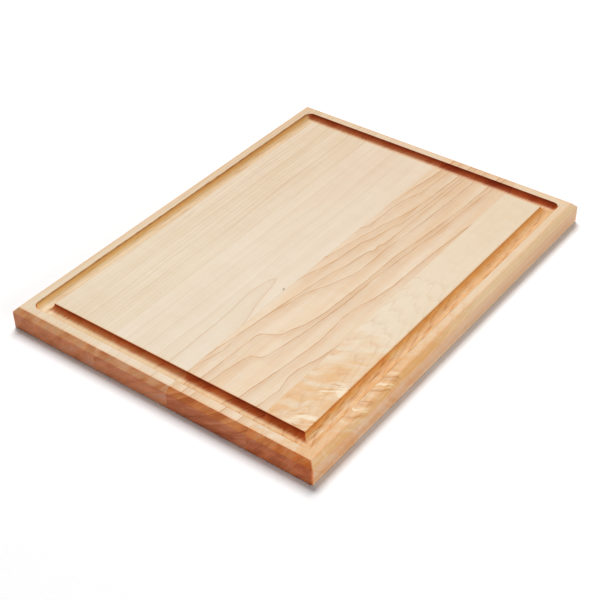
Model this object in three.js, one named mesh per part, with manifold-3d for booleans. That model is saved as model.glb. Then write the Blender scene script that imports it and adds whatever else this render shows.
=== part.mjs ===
// Cutting board with a juice groove, edge-glued from five hardwood staves.
//
// Millimetres, +Z up. The origin is on the underside, at the middle of the board. +X runs along the grain
// (the long side) and +Y across it.
//
// The staves are glued up first and machined as one slab afterwards, so every piece is cut with the same
// chamfer, eased edges and groove, and every piece keeps the board's own axes.

import * as THREE from "three";
import { mergeVertices } from "three/addons/utils/BufferGeometryUtils.js";
import Module from "manifold-3d";

// ---- driving dimensions ----

const LENGTH = 508; // along the grain, 20 in
const WIDTH = 381; // across the grain, 15 in
const THICKNESS = 25.4; // 1 in

const STAVE_WIDTHS = [30, 84, 95, 96, 76]; // from the +Y edge to the -Y edge, adding up to WIDTH
const GLUE_THICKNESS = 0.15; // cured adhesive film in each joint

const CHAMFER = 5.5; // 45 degree chamfer round the top
const CORNER_RADIUS = 2; // eased vertical corners
const UNDERSIDE_EASE = 1; // small chamfer round the underside

const CUTTER_RADIUS = 7.94; // 5/8 in ball-nose cutter
const GROOVE_DEPTH = 7.5;
const GROOVE_INSET = 23.15; // from the board's edge to the middle of the groove

// ---- sizes for cutting ----

const CUTTER_HEIGHT = THICKNESS - GROOVE_DEPTH + CUTTER_RADIUS; // of the ball's centre
const OVERSIZE = 10; // how far blanks and cutting solids run past the finished board

// ---- facets ----

const CORNER_SEGMENTS = 4; // flats on each quarter of a corner arc
const CUTTER_SEGMENTS = 40; // flats round the cutter

// ---- finishes ----

const STAVE_COLOURS = [0xe6c79c, 0xeed9b8, 0xecd5b1, 0xe4bf93, 0xecd2a6];
const STAVE_ROUGHNESS = 0.55;
const GLUE_COLOUR = 0xc79a5f;
const GLUE_ROUGHNESS = 0.4;

// ---- solids ----

const wasm = await Module();
wasm.setup();

function toSolid(geometry) {
  geometry.deleteAttribute("normal");
  geometry.deleteAttribute("uv");
  const merged = mergeVertices(geometry);
  return new wasm.Manifold(
    new wasm.Mesh({
      numProp: 3,
      vertProperties: new Float32Array(merged.attributes.position.array),
      triVerts: new Uint32Array(merged.index.array),
    }),
  );
}

function toGeometry(solid) {
  const { vertProperties, triVerts } = solid.getMesh();
  const geometry = new THREE.BufferGeometry();
  geometry.setAttribute("position", new THREE.BufferAttribute(vertProperties, 3));
  geometry.setIndex(new THREE.BufferAttribute(triVerts, 1));
  geometry.computeVertexNormals();
  return geometry;
}

// A slab with square vertical corners and a chamfer whose upper edge is level with the board's top.
function chamferedSlab() {
  const halfLength = LENGTH / 2 - CHAMFER;
  const halfWidth = WIDTH / 2 - CHAMFER;
  const outline = new THREE.Shape([
    new THREE.Vector2(-halfLength, -halfWidth),
    new THREE.Vector2(halfLength, -halfWidth),
    new THREE.Vector2(halfLength, halfWidth),
    new THREE.Vector2(-halfLength, halfWidth),
  ]);
  const straight = THICKNESS + OVERSIZE;
  const geometry = new THREE.ExtrudeGeometry(outline, {
    depth: straight,
    bevelThickness: CHAMFER,
    bevelSize: CHAMFER,
    bevelSegments: 1,
  });
  geometry.translate(0, 0, THICKNESS - CHAMFER - straight);
  return toSolid(geometry);
}

// A slab with rounded vertical corners and a small chamfer whose lower edge is level with the underside.
function easedSlab() {
  const x = LENGTH / 2;
  const y = WIDTH / 2;
  const r = CORNER_RADIUS;
  const outline = new THREE.Shape();
  outline.absarc(x - r, y - r, r, 0, Math.PI / 2);
  outline.absarc(-x + r, y - r, r, Math.PI / 2, Math.PI);
  outline.absarc(-x + r, -y + r, r, Math.PI, 1.5 * Math.PI);
  outline.absarc(x - r, -y + r, r, 1.5 * Math.PI, 2 * Math.PI);
  outline.closePath();
  const geometry = new THREE.ExtrudeGeometry(outline, {
    depth: THICKNESS + OVERSIZE,
    curveSegments: CORNER_SEGMENTS,
    bevelThickness: UNDERSIDE_EASE,
    bevelSize: UNDERSIDE_EASE,
    bevelOffset: -UNDERSIDE_EASE,
    bevelSegments: 1,
  });
  geometry.translate(0, 0, UNDERSIDE_EASE);
  return toSolid(geometry);
}

// The straight part of one run of the groove, centred on (x, y).
function grooveRun(x, y, travel, alongX) {
  const geometry = new THREE.CylinderGeometry(CUTTER_RADIUS, CUTTER_RADIUS, travel, CUTTER_SEGMENTS);
  if (alongX) {
    geometry.rotateZ(Math.PI / 2);
  }
  geometry.translate(x, y, CUTTER_HEIGHT);
  return toSolid(geometry);
}

// The cutter where it stands at one corner of its path.
function grooveCorner(x, y) {
  const geometry = new THREE.SphereGeometry(CUTTER_RADIUS, CUTTER_SEGMENTS, CUTTER_SEGMENTS / 2);
  geometry.rotateX(Math.PI / 2);
  geometry.translate(x, y, CUTTER_HEIGHT);
  return toSolid(geometry);
}

// The ball-nose cutter follows a rectangle: the groove's outer corners take its radius and the inner
// ones stay sharp.
function grooveCut() {
  const x = LENGTH / 2 - GROOVE_INSET;
  const y = WIDTH / 2 - GROOVE_INSET;
  let cut = grooveRun(0, y, 2 * x, true).add(grooveRun(0, -y, 2 * x, true));
  for (const side of [x, -x]) {
    cut = cut.add(grooveRun(side, 0, 2 * y, false));
    cut = cut.add(grooveCorner(side, y)).add(grooveCorner(side, -y));
  }
  return cut;
}

// The part of the machined board between two planes across the grain.
function sliceOf(board, yLow, yHigh) {
  const height = THICKNESS + 2 * OVERSIZE;
  const blank = new THREE.BoxGeometry(LENGTH + 2 * OVERSIZE, yHigh - yLow, height);
  blank.translate(0, (yLow + yHigh) / 2, THICKNESS / 2);
  return board.intersect(toSolid(blank));
}

// ---- the board ----

const group = new THREE.Group();
group.name = "cutting_board";

function addPiece(name, solid, color, roughness) {
  const material = new THREE.MeshStandardMaterial({ color, roughness, metalness: 0 });
  const mesh = new THREE.Mesh(toGeometry(solid), material);
  mesh.name = name;
  group.add(mesh);
}

const board = chamferedSlab().intersect(easedSlab()).subtract(grooveCut());

let joint = WIDTH / 2; // the edge shared with the stave before, moving towards -Y
STAVE_WIDTHS.forEach((width, index) => {
  const first = index === 0;
  const last = index === STAVE_WIDTHS.length - 1;
  const yHigh = first ? joint + OVERSIZE : joint - GLUE_THICKNESS / 2;
  joint -= width;
  const yLow = last ? joint - OVERSIZE : joint + GLUE_THICKNESS / 2;
  addPiece(`stave_${index + 1}`, sliceOf(board, yLow, yHigh), STAVE_COLOURS[index], STAVE_ROUGHNESS);
  if (!last) {
    const glue = sliceOf(board, joint - GLUE_THICKNESS / 2, joint + GLUE_THICKNESS / 2);
    addPiece(`glue_line_${index + 1}`, glue, GLUE_COLOUR, GLUE_ROUGHNESS);
  }
});

export default group;
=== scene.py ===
"""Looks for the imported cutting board: five maple staves glued edge to edge, with a juice groove.

The board's surface is built once, as a stack of closed loops with softened arrises, and is then cut at
the glue joints into the staves and glue lines of the CAD frame. Every stave is solid wood: its rings,
streaks and figure depend only on a point's place in the board, so the top, the groove, the chamfer, the
edges and the end grain agree.

Shapes and materials work in millimetres, in the frame's axes: +X along the grain, +Y across, +Z up.
"""

import math

import bmesh
import bpy
from mathutils import Matrix, Vector


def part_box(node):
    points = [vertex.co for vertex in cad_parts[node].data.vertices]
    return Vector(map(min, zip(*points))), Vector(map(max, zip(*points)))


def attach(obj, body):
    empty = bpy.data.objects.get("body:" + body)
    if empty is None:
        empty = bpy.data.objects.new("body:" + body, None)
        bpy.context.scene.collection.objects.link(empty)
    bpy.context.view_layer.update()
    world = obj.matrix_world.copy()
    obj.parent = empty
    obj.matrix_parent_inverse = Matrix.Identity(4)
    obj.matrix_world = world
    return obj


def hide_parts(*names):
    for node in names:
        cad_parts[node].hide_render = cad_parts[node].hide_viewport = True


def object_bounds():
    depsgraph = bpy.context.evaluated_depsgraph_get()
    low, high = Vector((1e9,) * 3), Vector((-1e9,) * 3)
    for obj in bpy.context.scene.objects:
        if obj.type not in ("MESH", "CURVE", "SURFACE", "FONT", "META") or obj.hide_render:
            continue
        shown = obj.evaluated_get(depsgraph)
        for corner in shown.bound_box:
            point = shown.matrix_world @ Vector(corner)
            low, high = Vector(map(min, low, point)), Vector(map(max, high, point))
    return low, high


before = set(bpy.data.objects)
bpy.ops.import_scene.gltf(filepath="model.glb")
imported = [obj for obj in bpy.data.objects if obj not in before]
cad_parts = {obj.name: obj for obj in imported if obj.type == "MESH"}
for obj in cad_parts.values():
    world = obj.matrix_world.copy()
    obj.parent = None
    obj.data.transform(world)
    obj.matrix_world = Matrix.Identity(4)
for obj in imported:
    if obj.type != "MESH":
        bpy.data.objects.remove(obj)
cad_low, cad_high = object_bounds()

# ---- sizes, in millimetres ----

MM = 0.001  # metres
HALF_LENGTH = cad_high.x / MM
HALF_WIDTH = cad_high.y / MM
THICKNESS = cad_high.z / MM

CHAMFER = 5.5
CHAMFER_ANGLE = 45  # degrees
CORNER_RADIUS = 2.0
UNDERSIDE_EASE = 1.0
CUTTER_RADIUS = 7.94
GROOVE_DEPTH = 7.5
GROOVE_INSET = 23.15  # from the board's edge to the middle of the groove

ARRIS_RADIUS = 0.9  # sanding on both edges of the chamfer
LIP_RADIUS = 0.55  # sanding on both lips of the groove
TIGHTEST_CORNER = 0.35  # smallest radius that any loop turns a corner with
RIM_MIDDLE = 10.0  # inset of a point on the flat rim, between the chamfer and the groove
OUTER_LIP = 15.0  # inset of the groove's outer lip
INNER_LIP = 31.6  # and of the inner one, where the cutting area begins
SAME_PLANE = 0.01  # planes closer together than this are one

EASE_STEPS = 6
ARRIS_STEPS = 4
LIP_STEPS = 6
GROOVE_STEPS = 32
CORNER_STEPS = 8
SHARP_ANGLE = math.radians(40)  # an edge that turns further than this stays crisp

# ---- studio, in metres and degrees ----

FLOOR_SIZE = 4.0
FLOOR_SEGMENTS = 8
KEY_PLACE = Vector((3.18, 2.75, 7.0))  # beyond the board's +X, +Y corner, facing straight down
KEY_SIZE = (4.9, 3.4)
KEY_POWER = 790.0
FILL_PLACE = Vector((-0.8, -2.6, 1.15))
FILL_SIZE = (1.4, 1.4)
FILL_POWER = 27.0
SKY_STRENGTH = 0.09
WHITE = (1.0, 1.0, 1.0, 1.0)

CAMERA_AZIMUTH = 307.11
CAMERA_ELEVATION = 38.49
CAMERA_ROLL = -0.78
CAMERA_LENS = 77.5  # millimetres
CAMERA_SENSOR = 36.0
CAMERA_DISTANCE = 1.3228
CAMERA_AIM = Vector((-0.0711, -0.0409, cad_high.z))


def srgb(red, green, blue):
    """A linear colour from its 0 to 255 screen values."""
    linear = []
    for value in (red, green, blue):
        share = value / 255
        linear.append(share / 12.92 if share <= 0.04045 else ((share + 0.055) / 1.055) ** 2.4)
    return (*linear, 1.0)


# ---- the board's surface ----


def arc(centre, radius, start, end, steps):
    """Points about centre, from one angle to another, in degrees."""
    points = []
    for step in range(steps + 1):
        angle = math.radians(start + (end - start) * step / steps)
        points.append((centre[0] + radius * math.cos(angle), centre[1] + radius * math.sin(angle)))
    return points


def section():
    """(inset from the edge, height) of every loop, from the underside up and over the groove."""
    cutter_height = THICKNESS - GROOVE_DEPTH + CUTTER_RADIUS
    lip_height = THICKNESS - LIP_RADIUS
    rise = cutter_height - lip_height
    reach = math.sqrt((CUTTER_RADIUS + LIP_RADIUS) ** 2 - rise**2)
    meet = math.degrees(math.atan2(rise, reach))  # where the lip's curve meets the cutter's
    groove = arc((GROOVE_INSET, cutter_height), CUTTER_RADIUS, 180 + meet, 360 - meet, GROOVE_STEPS)
    shoulder = ARRIS_RADIUS * math.tan(math.radians(CHAMFER_ANGLE / 2))
    turn = 180 - CHAMFER_ANGLE
    return [
        *arc((UNDERSIDE_EASE, UNDERSIDE_EASE), UNDERSIDE_EASE, 270, 180, EASE_STEPS),
        *arc((ARRIS_RADIUS, THICKNESS - CHAMFER - shoulder), ARRIS_RADIUS, 180, turn, ARRIS_STEPS),
        *arc((CHAMFER + shoulder, THICKNESS - ARRIS_RADIUS), ARRIS_RADIUS, turn, 90, ARRIS_STEPS),
        *arc((GROOVE_INSET - reach, lip_height), LIP_RADIUS, 90, meet, LIP_STEPS),
        *groove[1:-1],
        *arc((GROOVE_INSET + reach, lip_height), LIP_RADIUS, 180 - meet, 90, LIP_STEPS),
    ]


def corner_radius(inset):
    """Outside the rim the board's own corner; inside it the corner that the cutter's path leaves."""
    widest = CORNER_RADIUS if inset < RIM_MIDDLE else GROOVE_INSET
    return max(widest - inset, TIGHTEST_CORNER)


def loop_points(inset, height):
    """One rounded rectangle round the board."""
    radius = corner_radius(inset)
    x = HALF_LENGTH - inset - radius
    y = HALF_WIDTH - inset - radius
    points = []
    for centre, start in (((x, y), 0), ((-x, y), 90), ((-x, -y), 180), ((x, -y), 270)):
        points += arc(centre, radius, start, start + 90, CORNER_STEPS)
    return [(px * MM, py * MM, height * MM) for px, py in points]


def board_surface():
    """The whole board as one closed mesh."""
    surface = bmesh.new()
    loops = [[surface.verts.new(p) for p in loop_points(*place)] for place in section()]
    count = len(loops[0])
    for below, above in zip(loops, loops[1:]):
        for i in range(count):
            j = (i + 1) % count
            surface.faces.new((below[i], below[j], above[j], above[i]))
    surface.faces.new(reversed(loops[0]))
    surface.faces.new(loops[-1])
    return surface


def slice_of(surface, low, high):
    """The part of the board between two planes across Y, closed where it was cut."""
    piece = surface.copy()
    for y, outwards in ((low, -1), (high, 1)):
        if abs(y) > cad_high.y - SAME_PLANE * MM:
            continue
        cut = bmesh.ops.bisect_plane(
            piece,
            geom=[*piece.verts, *piece.edges, *piece.faces],
            plane_co=(0, y, 0),
            plane_no=(0, outwards, 0),
            clear_outer=True,
        )
        rim = [part for part in cut["geom_cut"] if isinstance(part, bmesh.types.BMEdge)]
        bmesh.ops.contextual_create(piece, geom=rim)
    bmesh.ops.recalc_face_normals(piece, faces=piece.faces)
    return piece


def add_piece(node, name, surface, material):
    """A finished piece in the place of one CAD node."""
    low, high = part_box(node)
    piece = slice_of(surface, low.y, high.y)
    for face in piece.faces:
        face.smooth = True
    for edge in piece.edges:
        edge.smooth = edge.calc_face_angle(0) < SHARP_ANGLE
    mesh = bpy.data.meshes.new(name)
    piece.to_mesh(mesh)
    piece.free()
    mesh.materials.append(material)
    shown = bpy.data.objects.new(name, mesh)
    bpy.context.scene.collection.objects.link(shown)
    weighted = shown.modifiers.new("weighted_normals", "WEIGHTED_NORMAL")
    weighted.keep_sharp = True
    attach(shown, "root")
    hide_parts(node)


# ---- shader building ----

NOISE_SHIFT = (7.31, 3.17, 5.77)  # from one seed's noise to the next
RELIEF_STRENGTH = 0.35
RELIEF_DEPTH = 0.05  # millimetres
MIX_INPUTS = (0, 6, 7)  # where a colour Mix node keeps its share and its two colours
MIX_RESULT = 2


class Field:
    """A number that varies over a surface. Arithmetic on it adds Math nodes to its shader."""

    def __init__(self, shader, socket):
        self.shader = shader
        self.socket = socket

    def __add__(self, other):
        return self.shader.math("ADD", self, other)

    def __radd__(self, other):
        return self.shader.math("ADD", other, self)

    def __sub__(self, other):
        return self.shader.math("SUBTRACT", self, other)

    def __rsub__(self, other):
        return self.shader.math("SUBTRACT", other, self)

    def __mul__(self, other):
        return self.shader.math("MULTIPLY", self, other)

    def __rmul__(self, other):
        return self.shader.math("MULTIPLY", other, self)

    def __truediv__(self, other):
        return self.shader.math("DIVIDE", self, other)


class Shader:
    """One material's nodes.

    x, y and z are a point's place in the board, in millimetres, and depth is how far it lies below the
    top. Growth rings lean over by lean millimetres towards +Y for each millimetre down: ring is the y at
    which a point's own ring comes out on the top. facing is how squarely the surface there faces along X,
    Y and Z, from 0 to 1.
    """

    def __init__(self, name, lean=0.0):
        self.material = bpy.data.materials.new(name)
        self.material.use_nodes = True
        self.tree = self.material.node_tree
        self.surface = self.tree.nodes["Principled BSDF"]
        coordinates = self.node("ShaderNodeTexCoord")
        scale = self.node("ShaderNodeVectorMath", operation="SCALE")
        self.tree.links.new(coordinates.outputs["Object"], scale.inputs[0])
        scale.inputs["Scale"].default_value = 1 / MM
        self.x, self.y, self.z = self.split(scale.outputs[0])
        self.depth = THICKNESS - self.z
        self.ring = self.y - self.depth * lean
        self.facing = [self.math("ABSOLUTE", part) for part in self.split(coordinates.outputs["Normal"])]

    def node(self, kind, **settings):
        made = self.tree.nodes.new(kind)
        for name, value in settings.items():
            setattr(made, name, value)
        return made

    def put(self, value, socket):
        """Feeds a socket from a field, from another socket or from a constant."""
        if isinstance(value, Field):
            value = value.socket
        if isinstance(value, bpy.types.NodeSocket):
            self.tree.links.new(value, socket)
        else:
            socket.default_value = value

    def split(self, vector):
        made = self.node("ShaderNodeSeparateXYZ")
        self.tree.links.new(vector, made.inputs[0])
        return [Field(self, output) for output in made.outputs]

    def math(self, operation, *values):
        made = self.node("ShaderNodeMath", operation=operation)
        for value, socket in zip(values, made.inputs):
            self.put(value, socket)
        return Field(self, made.outputs[0])

    def smallest(self, *fields):
        result = fields[0]
        for field in fields[1:]:
            result = self.math("MINIMUM", result, field)
        return result

    def largest(self, *fields):
        result = fields[0]
        for field in fields[1:]:
            result = self.math("MAXIMUM", result, field)
        return result

    def ramp(self, value, start, end, low=0.0, high=1.0):
        """Goes smoothly from low to high as value goes from start to end."""
        made = self.node("ShaderNodeMapRange", interpolation_type="SMOOTHSTEP")
        for item, socket in zip((value, start, end, low, high), made.inputs):
            self.put(item, socket)
        return Field(self, made.outputs[0])

    def near(self, value, place, full, reach):
        """1 while value is within full of a place, falling to 0 as its distance grows to reach."""
        return self.ramp(self.math("ABSOLUTE", value - place), full, reach, 1.0, 0.0)

    def noise(self, lengths, seed, detail=2.0, roughness=0.5, place=None):
        """Smooth noise from about -1 to 1. lengths are the sizes of its features along the grain, across
        the rings and down, or along the three fields of place."""
        gather = self.node("ShaderNodeCombineXYZ")
        for field, socket in zip(place or (self.x, self.ring, self.z), gather.inputs):
            self.put(field, socket)
        stretch = self.node("ShaderNodeVectorMath", operation="MULTIPLY_ADD")
        self.put(gather.outputs[0], stretch.inputs[0])
        stretch.inputs[1].default_value = [1 / length for length in lengths]
        stretch.inputs[2].default_value = [seed * shift for shift in NOISE_SHIFT]
        made = self.node("ShaderNodeTexNoise")
        self.put(stretch.outputs[0], made.inputs["Vector"])
        made.inputs["Scale"].default_value = 1.0
        made.inputs["Detail"].default_value = detail
        made.inputs["Roughness"].default_value = roughness
        return Field(self, made.outputs["Fac"]) * 4.0 - 2.0

    def curve(self, value, points, span, reach, smooth=True):
        """A drawn curve: points are (input, output), within span and reach."""
        made = self.node("ShaderNodeFloatCurve")
        mapping = made.mapping
        line = mapping.curves[0]
        scaled = []
        for given, result in points:
            u = (given - span[0]) / (span[1] - span[0])
            v = (result - reach[0]) / (reach[1] - reach[0])
            scaled.append((u, v))
        while len(line.points) < len(scaled):
            line.points.new(0.5, 0.5)
        for point, place in zip(line.points, scaled):
            point.location = place
            point.handle_type = "AUTO_CLAMPED" if smooth else "VECTOR"
        mapping.update()
        self.put((value - span[0]) / (span[1] - span[0]), made.inputs["Value"])
        return Field(self, made.outputs[0]) * (reach[1] - reach[0]) + reach[0]

    def adjust(self, colour, saturation, value):
        """A colour with its saturation and brightness multiplied."""
        made = self.node("ShaderNodeHueSaturation")
        self.put(saturation, made.inputs["Saturation"])
        self.put(value, made.inputs["Value"])
        self.put(colour, made.inputs["Color"])
        return made.outputs[0]

    def emboss(self, height):
        """Fine relief, a few hundredths of a millimetre deep."""
        made = self.node("ShaderNodeBump")
        made.inputs["Strength"].default_value = RELIEF_STRENGTH
        made.inputs["Distance"].default_value = RELIEF_DEPTH * MM
        self.put(height, made.inputs["Height"])
        self.put(made.outputs[0], self.surface.inputs["Normal"])

    def mix(self, share, first, second, blend="MIX"):
        """The first colour blended with its share of the second."""
        made = self.node("ShaderNodeMix", data_type="RGBA", blend_type=blend)
        for value, index in zip((share, first, second), MIX_INPUTS):
            self.put(value, made.inputs[index])
        return made.outputs[MIX_RESULT]

    def tint(self, colour, layers):
        """A colour multiplied by several tints. layers are (share, tint)."""
        for share, tint in layers:
            colour = self.mix(share, colour, tint, "MULTIPLY")
        return colour


# ---- growth lines ----

ALONG = (-260.0, 260.0)  # x over which growth lines are drawn
ACROSS = (-210.0, 210.0)  # and y

# Latewood lines on the top face, as (x, y). They go on down into the wood as the stave's rings lean.
FLOWING_LINES = [
    [(-260, -17), (-208, -20.5), (-179, -27), (-145, -25), (-111, -28), (-61, -34.5), (-18, -40),
     (4, -46), (35, -50), (46, -55), (54, -53), (60, -57), (260, -62)],
    [(-260, -12), (-180, -20), (-100, -30), (-81, -35.5), (-59, -39), (-35, -50), (-13, -57.7),
     (4, -62.7), (59, -63.7), (119, -69), (260, -74)],
    [(-260, 20), (-70, -8), (-39, -20.5), (-26, -22.3), (-18, -26), (4, -31.5), (48, -36), (65, -42),
     (92, -46), (101, -50.5), (138, -54), (260, -59)],
    [(-260, 40), (-20, -12), (9, -20.5), (28, -24), (66, -31.3), (92, -36.3), (124, -45), (159, -49),
     (260, -55)],
    [(-260, 60), (50, -10), (81, -24), (123, -25.5), (141, -27.7), (166, -35), (260, -42)],
    [(-260, 70), (100, -10), (138, -20), (164, -22.3), (202, -28), (260, -33)],
    [(-260, -33), (-196, -37), (-154, -38.5), (-141, -39.5), (-136, -43), (-128, -57), (-123, -60.5),
     (-112, -63), (-102, -68), (-71, -74.5), (4, -78), (52, -79), (95, -84), (166, -90), (260, -94)],
    [(-260, -43), (-199, -47.7), (-176, -52), (-168, -55), (-166, -64), (-158, -67), (-111, -75),
     (-54, -81.3), (4, -82.3), (73, -87.5), (123, -92), (260, -101)],
    [(-260, -79), (-203, -84.5), (-158, -90.5), (-111, -95), (-68, -93.5), (-46, -95), (-25, -101),
     (4, -105.5), (69, -108), (131, -113), (170, -117), (260, -126)],
    [(-260, -99), (-203, -105.5), (-192, -106.5), (-171, -102), (-156, -103.5), (-133, -110.5),
     (-103, -114.5), (-60, -119), (260, -142)],
    [(-260, -117), (260, -156)],
    [(-260, -131), (260, -170)],
    [(-260, -146), (260, -184)],
]
PLAIN_LINES = [
    [(-260, 62), (-40, 60), (260, 64)],
    [(-260, 52), (-160, 52), (-100, 50), (0, 52), (60, 47), (81, 45), (120, 50), (260, 56)],
    [(-260, 39), (-60, 38), (-28, 35), (-16, 33), (60, 33), (260, 39)],
    [(-260, 21), (-150, 19), (0, 21), (110, 17), (260, 20)],
]

# A ring cut near its crest on stave 3: the middle of the tongue and its half width, against x.
CATHEDRAL_MIDDLE = [(-260, -9), (-150, -7.5), (-120, -4), (-105, -0.8), (-80, 1.3), (260, 0.5)]
CATHEDRAL_HALF = [(-260, 14), (-150, 12.5), (-105, 9.3), (-80, 6.6), (-64, 3.6), (-56, 0), (-52, -5),
                  (260, -60)]

FAR_BELOW = 500.0  # added to the distance of a line that lies on the wrong side
LINE_EDGE = 0.7  # how far a line's soft upper edge reaches
MOST_STRETCH = 1.6  # beside a line that runs steeply across the grain, distances shrink by no more

# Darkness against distance in millimetres. The span of each profile stands above it.
BELOW_LINE = (0.0, 40.0)
LINE_PROFILE = [(0, 0), (0.4, 0.85), (0.8, 1.0), (1.2, 0.65), (2.0, 0.15), (3.6, 0), (40, 0)]
SHADE_PROFILE = [(0, 0), (0.7, 0.9), (3, 1.0), (7, 0.6), (14, 0.2), (22, 0), (40, 0)]
ROUND_TIP = (-30.0, 30.0)
TIP_PROFILE = [(-30, 0), (-1.2, 0), (-0.3, 1), (0.4, 0.9), (1.6, 0.3), (6, 0.12), (12, 0), (30, 0)]

# Darkness against the share of the way from one ring to the next.
SHARE = (0.0, 1.0)
RING_PROFILE = [(0, 1), (0.1, 0.6), (0.25, 0.25), (0.6, 0.05), (0.92, 0.05), (1, 0.95)]

# Sizes of the patches over which rings are wider or narrower, and stronger or fainter.
RING_WIDTH_SIZE = (220, 14, 14)
RING_STRENGTH_SIZE = (120, 9, 9)


def below_nearest(shader, lines, wander):
    """How far a point lies below the nearest growth line above it, in the sense of -Y."""
    distances = []
    for points in lines:
        line = shader.curve(shader.x, points, ALONG, ACROSS, smooth=False)
        a_millimetre_on = shader.curve(shader.x + 1.0, points, ALONG, ACROSS, smooth=False)
        climb = a_millimetre_on - line
        stretch = shader.smallest(shader.math("SQRT", climb * climb + 1.0), MOST_STRETCH)
        distance = (line - shader.ring - wander) / stretch + LINE_EDGE
        distances.append(distance + shader.math("LESS_THAN", distance, 0.0) * FAR_BELOW)
    return shader.smallest(*distances)


def latewood(shader, distance, line, shade):
    """A dark line just below a ring's edge, then a shade that fades out over the next millimetres."""
    core = shader.curve(distance, LINE_PROFILE, BELOW_LINE, SHARE, smooth=False)
    fade = shader.curve(distance, SHADE_PROFILE, BELOW_LINE, SHARE, smooth=False)
    return shader.largest(core * line, fade * shade)


def even_rings(shader, place, spacing, seed):
    """Soft lines at a nearly even spacing, strong in places and lost in others."""
    uneven = shader.noise(RING_WIDTH_SIZE, seed + 5)
    share = shader.math("FRACT", place / spacing + uneven * 0.7)
    line = shader.curve(share, RING_PROFILE, SHARE, SHARE, smooth=False)
    strength = shader.ramp(shader.noise(RING_STRENGTH_SIZE, seed + 6), -0.8, 1.0, 0.35, 1.0)
    return line * strength


# ---- wood ----

# Tints, which multiply the colour of the wood.
FLECK_TINT = (0.88, 0.78, 0.68, 1.0)
LINE_TINT = (0.71, 0.49, 0.29, 1.0)  # latewood
MELLOW_AND_SHADE_TINT = (0.955, 0.915, 0.88, 1.0)  # the board is a shade warmer and darker towards its +X end: partly its tone, partly painted shade evening out the key light
RIM_TINT = (1.0, 0.94, 0.866, 1.0)  # handling has warmed the rim
ARRIS_WEAR_AND_HIGHLIGHT_TINT = (1.0, 0.88, 0.78, 1.0)  # and the arrises: partly wear, partly a painted warm highlight
LIP_WEAR_AND_HIGHLIGHT_TINT = (0.97, 0.84, 0.70, 1.0)  # and the edge of the cutting area most of all: partly wear, partly a painted warm highlight
SIDE_PALE_AND_LIT_TINT = (1.12, 1.08, 0.99, 1.0)  # the sides and their chamfers are paler than the top: partly the wood, partly painted light
SIDE_DARK_AND_SHADED_TINT = (0.97, 0.84, 0.82, 1.0)  # but the sides themselves are darker and pinker again: partly the wood, partly painted shade
FOOT_LIGHT_TINT = (1.24, 1.28, 1.33, 1.0)  # painted light near their bottom edge, and a little on the ends, lifting the shade by the floor
BOTTOM_SHADE_TINT = (0.84, 0.99, 1.20, 1.0)  # and a cool painted shade on the ease below that
ROUTED_TINT = (1.02, 0.97, 0.85, 1.0)  # the groove was never sanded as fine as the top
STEEP_SIDE_LIGHT_TINT = (1.28, 1.09, 0.62, 1.0)  # painted light, warm, on the groove's steep sides
SHEER_SIDE_SHADE_TINT = (0.79, 0.77, 0.73, 1.0)  # and painted shade where they are sheerest, just under the lips
CROSS_TINT = (0.91, 0.85, 0.74, 1.0)  # the groove's floor is darker and warmer where it crosses the grain
STAIN_TINT = (0.74, 0.54, 0.34, 1.0)  # juices have marked the groove in streaks
OUTER_LIP_DASH_TINT = (0.58, 0.38, 0.24, 1.0)  # the groove is darker in dashes along its outer lip
BEVEL_TINT = (1.08, 0.51, 0.215, 1.0)  # wood cut askew to the grain drinks oil
END_TINT = (0.92, 0.83, 1.03, 1.0)  # and is pinker where it is cut square across
END_DARK_TINT = (0.60, 0.43, 0.42, 1.0)  # its soaked bands and blotches
FAR_END_TINT = (0.78, 0.80, 0.90, 1.0)  # the +X end has soaked up more oil and gone browner
ROUTED_END_TINT = (0.60, 0.42, 0.42, 1.0)  # the groove's sides across the grain are the darkest, and a painted shade deepens them towards the +X end

# Sizes of the markings, in millimetres: along the grain, across the rings and down.
FIBRE_SIZE = (60, 0.8, 0.8)
STREAK_SIZE = (110, 3.0, 3.0)
FLECK_SIZE = (2.6, 0.4, 0.4)
DRIFT_SIZE = (160, 22, 22)
SHIMMER_SIZE = (9, 26, 26)
BAND_SIZE = (8, 1.0, 16)
BLOTCH_SIZE = (30, 18, 14)
STAIN_SIZE = (26, 3.2, 3.2)
OUTER_LIP_DASH_SIZE = (11, 11, 11)

# Where a change starts and where it is complete, by how squarely the surface faces along an axis.
ASKEW = (0.2, 0.7)  # along X
SLANTING = (0.1, 0.65)  # along Y
SQUARE_ON = (0.72, 0.95)  # along either
STEEP = (0.96, 0.5)  # along Z
SHEER = (0.5, 0.2)

# The same, by where the point lies, in millimetres.
MELLOW_AND_SHADE_X = (-150.0, 250.0)
RIM_END = (12.0, 16.0)  # inset
RIM_X = (-250.0, 240.0)
GROOVE_START = (10.0, 12.0)  # inset
FLOOR_DEPTH = (1.5, 7.0)
SIDE_RUN = (36.0, 32.0)  # from the nearest side: where the groove runs along the grain
END_RUN = (14.0, 18.0)  # from the nearest end: where that run stops
STAIN_Y = (120.0, -120.0)
FOOT_HEIGHT = (6.0, 1.5)
BOTTOM_SHADE_HEIGHT = (2.2, 0.8)
FAR_END_X = (236.0, 244.0)
# where the painted shade on the groove's cross-grain sides deepens
FAR_GROOVE_SHADE_X = (0.0, 200.0)

ARRIS_MIDDLE = CHAMFER + 0.8  # inset of the middle of the worn band along the upper arris
TYPICAL_THIRST = 0.85  # of end grain, where 0 takes up no oil and 1 is full of it
WOOD_ROUGHNESS = 0.5
WOOD_SPECULAR = 0.3


def edge_distances(shader):
    """How far a point is from the nearest end of the board and from the nearest side."""
    from_end = HALF_LENGTH - shader.math("ABSOLUTE", shader.x)
    from_side = HALF_WIDTH - shader.math("ABSOLUTE", shader.y)
    return from_end, from_side


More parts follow.
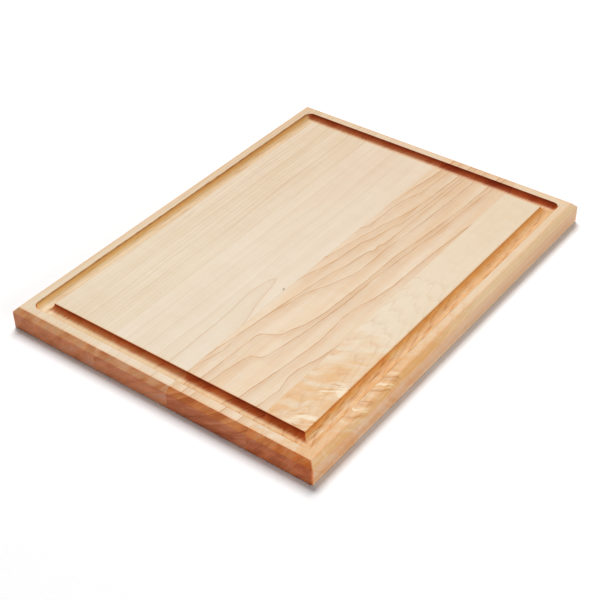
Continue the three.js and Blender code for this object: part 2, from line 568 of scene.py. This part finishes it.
def worn_and_highlit_layers(shader, inset):
    """The rim, the upper arrises and the edge of the cutting area, with a painted warm highlight along the
    arrises and the lip.
    """
    handled = shader.ramp(inset, *RIM_END, 1.0, 0.0) * shader.ramp(shader.x, *RIM_X, 0.6, 1.0)
    arris = shader.near(inset, ARRIS_MIDDLE, 0.5, 1.6)
    lip = shader.near(inset, INNER_LIP, 0.5, 1.3)
    return [(handled, RIM_TINT), (arris, ARRIS_WEAR_AND_HIGHLIGHT_TINT), (lip, LIP_WEAR_AND_HIGHLIGHT_TINT)]


def side_layers(shader, end, routed):
    """The sides, their chamfers and the foot of the board, with painted light and shade on them."""
    slanting = shader.ramp(shader.facing[1], *SLANTING) * (1.0 - routed)
    side = shader.ramp(shader.facing[1], *SQUARE_ON)
    # painted light near the floor
    foot = (side + end * 0.25) * shader.ramp(shader.z, *FOOT_HEIGHT)
    # a cool painted shade on the bottom ease
    shaded_bottom = shader.ramp(shader.z, *BOTTOM_SHADE_HEIGHT)
    return [(slanting, SIDE_PALE_AND_LIT_TINT), (side, SIDE_DARK_AND_SHADED_TINT), (foot, FOOT_LIGHT_TINT), (shaded_bottom, BOTTOM_SHADE_TINT)]


def groove_layers(shader, seed, routed):
    """What the cutter and the juices have left in the groove, with painted light and shade on its steep
    sides.
    """
    stains = shader.noise(STAIN_SIZE, seed + 19, roughness=0.6)
    lip_dashes = shader.noise(OUTER_LIP_DASH_SIZE, seed + 20)
    from_end, from_side = edge_distances(shader)
    inset = shader.smallest(from_end, from_side)
    lengthways = shader.ramp(from_side, *SIDE_RUN) * shader.ramp(from_end, *END_RUN)

    floor = routed * shader.ramp(shader.depth, *FLOOR_DEPTH)
    steep = routed * shader.ramp(shader.facing[2], *STEEP)
    # painted shade on the sheerest parts of the groove's sides
    sheer_shade = routed * shader.ramp(shader.facing[2], *SHEER)
    crossed = floor * (1.0 - lengthways)
    stained = floor * shader.ramp(stains, 0.0, 0.9) * shader.ramp(lengthways, 0.0, 1.0, 0.3, 1.0)
    stained = stained * shader.ramp(shader.y, *STAIN_Y, 0.6, 1.0)
    dashed_lip = shader.near(inset, OUTER_LIP, 0.2, 0.6) * lengthways
    dashed_lip = dashed_lip * shader.ramp(lip_dashes, -0.4, 0.7, 0.3, 0.9)
    return [
        (floor, ROUTED_TINT),
        (steep, STEEP_SIDE_LIGHT_TINT),
        (sheer_shade, SHEER_SIDE_SHADE_TINT),
        (crossed, CROSS_TINT),
        (stained, STAIN_TINT),
        (dashed_lip, OUTER_LIP_DASH_TINT),
    ]


def end_layers(shader, seed, thirst, bands, askew, end, routed):
    """Faces that cut across the grain. They drink oil, in bands and blotches, and in the groove a painted
    shade deepens towards the +X end.
    """
    blotches = shader.noise(BLOTCH_SIZE, seed + 16)
    drunk = shader.ramp(end, 0.0, 1.0, thirst, 1.0 - 0.2 * (1.0 - thirst))
    drunk = drunk + bands * 0.3 + blotches * 0.2
    soaked = bands * 0.9 + blotches * 0.8 + (thirst - TYPICAL_THIRST) * 2.2
    return [
        (askew * drunk, BEVEL_TINT),
        (end, END_TINT),
        (askew * shader.ramp(soaked, -0.3, 0.8) * 0.8, END_DARK_TINT),
        (askew * shader.ramp(shader.x, *FAR_END_X), FAR_END_TINT),
        (askew * routed * shader.ramp(shader.x, *FAR_GROOVE_SHADE_X, 0.76, 1.0), ROUTED_END_TINT),
    ]


def patchy(shader, size, seed, spread, pale, warm):
    """The pale colour with patches of the warm one, which blend over a wide or a narrow spread."""
    return shader.mix(shader.ramp(shader.noise(size, seed + 7), -spread, spread), pale, warm)


def finish_wood(shader, colour, lines, seed, thirst):
    """What every stave shares: fibres, flecks, wear, the groove, thirsty end grain, painted light and
    shade, sheen and relief.

    What is added to the seed only keeps the noises apart.
    """
    fibres = shader.noise(FIBRE_SIZE, seed + 1, detail=3.0, roughness=0.65)
    streaks = shader.noise(STREAK_SIZE, seed + 10)
    flecks = shader.ramp(shader.noise(FLECK_SIZE, seed + 2, detail=0.0), 0.75, 1.3)
    drift = shader.noise(DRIFT_SIZE, seed + 3)
    shimmer = shader.noise(SHIMMER_SIZE, seed + 15)
    bands = shader.noise(BAND_SIZE, seed + 4, detail=3.0, roughness=0.7)

    inset = shader.smallest(*edge_distances(shader))
    routed = shader.ramp(inset, *GROOVE_START)
    askew = shader.ramp(shader.facing[0] + bands * 0.15, *ASKEW)
    end = shader.ramp(shader.facing[0], *SQUARE_ON)

    value = 1.0 + fibres * 0.035 + streaks * 0.022 + drift * 0.012 + shimmer * 0.012
    value = value + (bands * 0.30 + fibres * 0.05) * askew
    colour = shader.adjust(colour, 1.0 - drift * 0.06 - shimmer * 0.04, value)
    layers = [
        (flecks * 0.25, FLECK_TINT),
        (lines, LINE_TINT),
        # darker towards +X: partly tone, partly painted shade
        (shader.ramp(shader.x, *MELLOW_AND_SHADE_X), MELLOW_AND_SHADE_TINT),
        *worn_and_highlit_layers(shader, inset),
        *side_layers(shader, end, routed),
        *groove_layers(shader, seed, routed),
        *end_layers(shader, seed, thirst, bands, askew, end, routed),
    ]
    shader.put(shader.tint(colour, layers), shader.surface.inputs["Base Color"])

    roughness = WOOD_ROUGHNESS + fibres * 0.03 - lines * 0.05 + end * 0.15
    shader.put(roughness, shader.surface.inputs["Roughness"])
    shader.surface.inputs["Specular IOR Level"].default_value = WOOD_SPECULAR
    shader.emboss(fibres * 0.4 - flecks * 0.3 - lines * 0.5 + bands * askew)
    return shader.material


# ---- quarter-sawn staves ----

STRAIGHT_PITCH = 5.2
STRAIGHT_SLOPE = 0.012  # how far the lines drift across for each millimetre along
STRAIGHT_X = (-80.0, 120.0)  # where they get stronger
STRAIGHT_WANDER_SIZE = (150, 60, 60)
STRAIGHT_PATCH_SIZE = (120, 12, 12)


def straight_maple(seed, pale, warm, lean, thirst):
    """Quarter-sawn: fine straight lines a few millimetres apart."""
    shader = Shader(f"maple_straight_{seed}", lean)
    wander = shader.noise(STRAIGHT_WANDER_SIZE, seed) * 1.6
    lines = even_rings(shader, shader.ring - shader.x * STRAIGHT_SLOPE + wander, STRAIGHT_PITCH, seed)
    lines = lines * shader.ramp(shader.x, *STRAIGHT_X, 0.36, 0.66)
    tone = patchy(shader, STRAIGHT_PATCH_SIZE, seed, 1.2, pale, warm)
    return finish_wood(shader, tone, lines, seed, thirst)


# ---- the plain stave ----

PLAIN_WANDER_SIZE = (40, 16, 16)
PLAIN_PATCH_SIZE = (150, 18, 18)
CATHEDRAL_WANDER_SIZE = (14, 6, 6)
CATHEDRAL_SEED = 31
CATHEDRAL_STRENGTH = 0.4
KNOT_PLACE = (-66.5, -16.5)  # x and y
KNOT_COLOUR = srgb(122, 84, 58)
KNOT_RIPPLE_OFFSET = 9.0  # how far before the knot the rippled grain lies
KNOT_RIPPLE_PITCH = 3.4


def cathedral(shader, middle, half):
    """One ring cut near its crest: a line that runs out along the stave and back, with a blunt tip."""
    away = shader.math("ABSOLUTE", shader.ring - shader.curve(shader.x, middle, ALONG, ACROSS))
    inside = shader.curve(shader.x, half, ALONG, ACROSS) - away
    inside = inside + shader.noise(CATHEDRAL_WANDER_SIZE, CATHEDRAL_SEED) * 0.5
    return shader.curve(inside, TIP_PROFILE, ROUND_TIP, SHARE, smooth=False) * CATHEDRAL_STRENGTH


def pin_knot(shader, tone):
    """A short dark dash with rippled grain just before it."""
    along = shader.x - KNOT_PLACE[0]
    across = shader.y - KNOT_PLACE[1]
    dash = shader.near(along, 0.0, 1.0, 3.0) * shader.near(across, along * 0.3, 0.3, 1.1)
    patch = shader.near(along, -KNOT_RIPPLE_OFFSET, 2.0, 9.0) * shader.near(across, 0.0, 1.0, 5.0)
    ripple = shader.math("SINE", (along + across * 0.8) * (math.tau / KNOT_RIPPLE_PITCH)) * patch
    tone = shader.adjust(tone, 1.0 - ripple * 0.3, 1.0 + ripple * 0.08)
    return shader.mix(dash * 0.8, tone, KNOT_COLOUR)


def plain_maple(seed, pale, warm, lean, thirst):
    """Nearly plain, with a few faint lines, one cathedral tip and a pin knot."""
    shader = Shader("maple_plain", lean)
    wander = shader.noise(PLAIN_WANDER_SIZE, seed) * 0.7
    faint = latewood(shader, below_nearest(shader, PLAIN_LINES, wander), 0.22, 0.07)
    lines = shader.largest(faint, cathedral(shader, CATHEDRAL_MIDDLE, CATHEDRAL_HALF))
    tone = pin_knot(shader, patchy(shader, PLAIN_PATCH_SIZE, seed, 1.2, pale, warm))
    return finish_wood(shader, tone, lines, seed, thirst)


# ---- the flat-sawn stave ----

ECHO_PITCH = 4.2
FLOWING_WANDER_SIZES = [(12, 6, 6), (90, 30, 30)]
FLOWING_STRENGTH_SIZE = (40, 9, 9)
FLOWING_PATCH_SIZE = (110, 10, 10)


def flowing_maple(seed, pale, warm, lean, thirst):
    """Flat-sawn: brown lines that flow down across the stave, with two sharp hooks and faint echoes."""
    shader = Shader("maple_flowing", lean)
    short, long = FLOWING_WANDER_SIZES
    wander = shader.noise(short, seed) * 0.5 + shader.noise(long, seed + 8) * 0.5
    distance = below_nearest(shader, FLOWING_LINES, wander)
    strength = shader.ramp(shader.noise(FLOWING_STRENGTH_SIZE, seed + 9), -0.9, 0.7, 0.55, 1.15)
    lines = latewood(shader, distance, 1.0, 0.32) * strength
    echoes = even_rings(shader, distance, ECHO_PITCH, seed) * 0.18
    tone = patchy(shader, FLOWING_PATCH_SIZE, seed, 1.0, pale, warm)
    return finish_wood(shader, tone, lines + echoes, seed, thirst)


# ---- the curly stave ----

ARC_MIDDLE = -127.0  # the ring that the arcs are centred on
ARC_PITCH = 27.0
ARC_BEND = 3.9  # millimetres along the grain for a centimetre across, growing as its square
LAYER_PITCH = 6.0  # of the rings where they come out on the side face
CURL_PITCH = 17.0
CREST_COLOUR = srgb(241, 224, 194)
TROUGH_COLOUR = srgb(198, 140, 80)

# Sizes of noises. The last three run across the strokes of the figure, along them and down.
CURLY_WANDER_SIZE = (60, 25, 25)
SKEW_WANDER_SIZE = (30, 16, 16)
GOLD_STREAK_SIZE = (70, 12, 12)
FLAME_SIZE = (9, 40, 40)
STROKE_SIZE = (3.0, 30, 30)
CURL_PATCH_SIZE = (9, 14, 14)

# Where a change starts and where it is complete, in millimetres but for GOLD_SIDE.
PALE_ARCS_X = (60.0, 25.0)
LAYERS_Y = (-183.0, -190.0)
GOLD_X = (10.0, -215.0)
GOLD_INSET = (10.0, 34.0)
GOLD_RIM_X = (80.0, -130.0)
GOLD_RIM_Y = (-158.0, -170.0)
GOLD_SIDE = (0.7, 0.95)  # a share of facing along Y
GOLD_DEPTH = (0.5, 4.0)
FLAME_X = (0.0, -120.0)
CORNER_X = (-190.0, -208.0)
CORNER_Y = (-120.0, -145.0)
PATCH_START_X = (-145.0, -155.0)
PATCH_END_X = (-182.0, -170.0)
PATCH_Y = (-132.0, -145.0)
RIM_CURL_START_X = (-98.0, -108.0)
RIM_CURL_END_X = (-200.0, -185.0)
RIM_CURL_Y = (-173.0, -177.0)
RIM_CURL_DEPTH = (0.5, 5.0)


def curly_arcs(shader, wander, seed):
    """Faint arcs that bend across the stave, and its rings where they come out on the side face."""
    across = (shader.ring - ARC_MIDDLE) / 10.0  # centimetres
    arcs = even_rings(shader, shader.x + across * across * ARC_BEND + wander, ARC_PITCH, seed)
    arcs = arcs * shader.ramp(shader.x, *PALE_ARCS_X, 0.07, 0.36)
    layers = even_rings(shader, shader.ring + wander * 0.5, LAYER_PITCH, seed + 1) * 0.4
    return shader.largest(arcs, layers * shader.ramp(shader.y, *LAYERS_Y))


def golden_share(shader, inset, in_groove, slanted, seed):
    """How golden the stave is: towards its -X end, on the rim and in the groove, in flames."""
    by_end = shader.ramp(shader.x, *GOLD_X, 0.0, 0.85) * shader.ramp(inset, *GOLD_INSET, 0.75, 1.0)
    by_rim = shader.ramp(shader.y, *GOLD_RIM_Y) * shader.ramp(shader.x, *GOLD_RIM_X, 0.3, 0.95)
    by_rim = by_rim * shader.ramp(shader.facing[1], *GOLD_SIDE, 1.0, 0.5)
    flames = shader.noise(FLAME_SIZE, seed + 7, detail=3.0, place=slanted) * 0.42
    flames = flames + shader.noise(GOLD_STREAK_SIZE, seed + 18) * 0.25
    flames = flames * shader.ramp(shader.x, *FLAME_X, 0.3, 1.0)
    return shader.ramp(shader.largest(by_end, by_rim, in_groove) + flames, 0.1, 1.1)


def curly_ripple(shader, inset, slanted, seed):
    """Waves in the grain, crests above 0 and troughs below, near the -X end and on the rim beside it."""
    corner = shader.ramp(shader.x, *CORNER_X) * shader.ramp(shader.y, *CORNER_Y)
    patch = shader.ramp(shader.x, *PATCH_START_X) * shader.ramp(shader.y, *PATCH_Y)
    patch = patch * shader.ramp(shader.x, *PATCH_END_X)
    island = shader.ramp(inset, INNER_LIP - 1.5, INNER_LIP)
    rim = shader.ramp(shader.x, *RIM_CURL_START_X) * shader.ramp(shader.x, *RIM_CURL_END_X)
    rim = rim * shader.ramp(shader.y, *RIM_CURL_Y) * shader.ramp(shader.depth, *RIM_CURL_DEPTH, 1.0, 0.3)

    strokes = shader.noise(STROKE_SIZE, seed + 14, detail=1.0, place=slanted)
    patches = shader.noise(CURL_PATCH_SIZE, seed + 17, place=slanted)
    waves = shader.math("SINE", (slanted[0] + strokes * 1.2) * (math.tau / CURL_PITCH))
    on_top = (strokes * 0.7 + patches * 0.75 + 0.08) * shader.largest(corner, patch) + patch * 0.25
    return on_top * island + (waves * 0.6 + strokes * 0.55 + patches * 0.35) * rim


def askew_place(shader, seed):
    """A point's place across the strokes of the figure, along them and down."""
    wander = shader.noise(SKEW_WANDER_SIZE, seed + 13) * 4.0
    across = shader.x * 0.85 + shader.y * 0.5 + shader.z * 0.7 + wander
    along = shader.x * 0.5 - shader.y * 0.85
    return across, along, shader.z


def curly_maple(seed, pale, warm, lean, thirst):
    """Pale, with faint arcs; towards one end it turns golden, and bright ripples cross the grain."""
    shader = Shader("maple_curly", lean)
    inset = shader.smallest(*edge_distances(shader))
    slanted = askew_place(shader, seed)
    in_groove = shader.ramp(shader.depth, *GOLD_DEPTH, 0.0, 0.75) * shader.ramp(inset, *GROOVE_START)

    wander = shader.noise(CURLY_WANDER_SIZE, seed) * 4.0
    arcs = curly_arcs(shader, wander, seed) * (1.0 + in_groove * 1.8)
    tone = shader.mix(golden_share(shader, inset, in_groove, slanted, seed), pale, warm)
    ripple = curly_ripple(shader, inset, slanted, seed)
    tone = shader.mix(shader.ramp(ripple, 0.0, 0.85, 0.0, 0.9), tone, CREST_COLOUR)
    tone = shader.mix(shader.ramp(ripple, -0.05, -0.8, 0.0, 0.75), tone, TROUGH_COLOUR)
    return finish_wood(shader, tone, arcs, seed, thirst)


# ---- glue ----

GLUE_SEED = 61
GLUE_DUST_SIZE = (6, 1, 1)
GLUE_ROUGHNESS = 0.4
PALE_GLUE = srgb(214, 186, 146)
DARK_GLUE = srgb(200, 166, 122)


def glue_film():
    """Cured glue: amber, with the wood's dust in it."""
    shader = Shader("wood_glue")
    dust = shader.noise(GLUE_DUST_SIZE, GLUE_SEED, detail=3.0)
    colour = shader.mix(shader.ramp(dust, -1.0, 1.0), PALE_GLUE, DARK_GLUE)
    colour = shader.tint(colour, [(shader.ramp(shader.facing[0], *ASKEW), BEVEL_TINT)])
    shader.put(colour, shader.surface.inputs["Base Color"])
    shader.put(GLUE_ROUGHNESS + dust * 0.06, shader.surface.inputs["Roughness"])
    shader.emboss(dust)
    return shader.material


# ---- the pieces ----

# Each stave's slot and kind of wood, then its seed, its pale and its warm colour, how far its rings lean
# and how thirsty its end grain is.
STAVES = {
    "stave_1": ("maple_straight", straight_maple, 11, srgb(225, 207, 180), srgb(221, 199, 169), 0.7, 0.8),
    "stave_2": ("maple_straight", straight_maple, 12, srgb(228, 211, 186), srgb(224, 204, 175), 0.7, 0.75),
    "stave_3": ("maple_plain", plain_maple, 13, srgb(229, 213, 190), srgb(226, 206, 181), 1.5, 0.72),
    "stave_4": ("maple_flowing", flowing_maple, 14, srgb(231, 210, 183), srgb(228, 199, 164), 1.7, 1.0),
    "stave_5": ("maple_curly", curly_maple, 15, srgb(229, 211, 184), srgb(225, 180, 128), 0.9, 0.95),
}

GLUE_LINES = ["glue_line_1", "glue_line_2", "glue_line_3", "glue_line_4"]

surface = board_surface()
for node, (slot, kind, *finish) in STAVES.items():
    add_piece(node, f"{node}_wood", surface, kind(*finish))
film = glue_film()
for node in GLUE_LINES:
    add_piece(node, f"{node}_film", surface, film)
surface.free()

# ---- the studio ----

PAPER_SEED = 71
PAPER_TOOTH_SIZE = (4, 4, 4)
PAPER_ROUGHNESS = 0.9
PAPER_SPECULAR = 0.1
PALE_PAPER = srgb(254, 254, 254)
DARK_PAPER = srgb(252, 252, 253)


def add_floor():
    """A pale sweep of paper."""
    shader = Shader("paper")
    tooth = shader.noise(PAPER_TOOTH_SIZE, PAPER_SEED, detail=3.0)
    colour = shader.mix(shader.ramp(tooth, -1.5, 1.5), PALE_PAPER, DARK_PAPER)
    shader.put(colour, shader.surface.inputs["Base Color"])
    shader.put(PAPER_ROUGHNESS + tooth * 0.03, shader.surface.inputs["Roughness"])
    shader.surface.inputs["Specular IOR Level"].default_value = PAPER_SPECULAR
    paper = bmesh.new()
    bmesh.ops.create_grid(paper, x_segments=FLOOR_SEGMENTS, y_segments=FLOOR_SEGMENTS, size=FLOOR_SIZE)
    mesh = bpy.data.meshes.new("floor")
    paper.to_mesh(mesh)
    paper.free()
    mesh.materials.append(shader.material)
    floor = bpy.data.objects.new("floor", mesh)
    bpy.context.scene.collection.objects.link(floor)


def add_panel(name, place, size, power, aim):
    """A soft rectangular light, with its long side along X when it faces straight down."""
    light = bpy.data.lights.new(name, "AREA")
    light.shape = "RECTANGLE"
    light.size, light.size_y = size
    light.energy = power
    panel = bpy.data.objects.new(name, light)
    panel.location = place
    panel.rotation_euler = (place - aim).to_track_quat("Z", "Y").to_euler()
    bpy.context.scene.collection.objects.link(panel)


def add_world():
    """A faint, even sky."""
    world = bpy.data.worlds.new("studio")
    world.use_nodes = True
    background = world.node_tree.nodes["Background"]
    background.inputs["Color"].default_value = WHITE
    background.inputs["Strength"].default_value = SKY_STRENGTH
    bpy.context.scene.world = world


def add_camera():
    """Looks down at the board from beyond its -X, -Y corner."""
    azimuth = math.radians(CAMERA_AZIMUTH)
    elevation = math.radians(CAMERA_ELEVATION)
    back = Vector((
        math.sin(azimuth) * math.cos(elevation),
        -math.cos(azimuth) * math.cos(elevation),
        math.sin(elevation),
    ))
    right = (-back).cross(Vector((0, 0, 1))).normalized()
    up = back.cross(right)
    level = Matrix((right, up, back)).transposed().to_4x4()
    data = bpy.data.cameras.new("camera")
    data.lens = CAMERA_LENS
    data.sensor_width = CAMERA_SENSOR
    camera = bpy.data.objects.new("camera", data)
    place = Matrix.Translation(CAMERA_AIM + back * CAMERA_DISTANCE)
    camera.matrix_world = place @ level @ Matrix.Rotation(math.radians(CAMERA_ROLL), 4, "Z")
    bpy.context.scene.collection.objects.link(camera)
    bpy.context.scene.camera = camera


add_floor()
below_key = KEY_PLACE - Vector((0, 0, 1))
add_panel("key", KEY_PLACE, KEY_SIZE, KEY_POWER, below_key)
add_panel("fill", FILL_PLACE, FILL_SIZE, FILL_POWER, Vector())
add_world()
add_camera()
bpy.context.scene.view_settings.view_transform = "Standard"
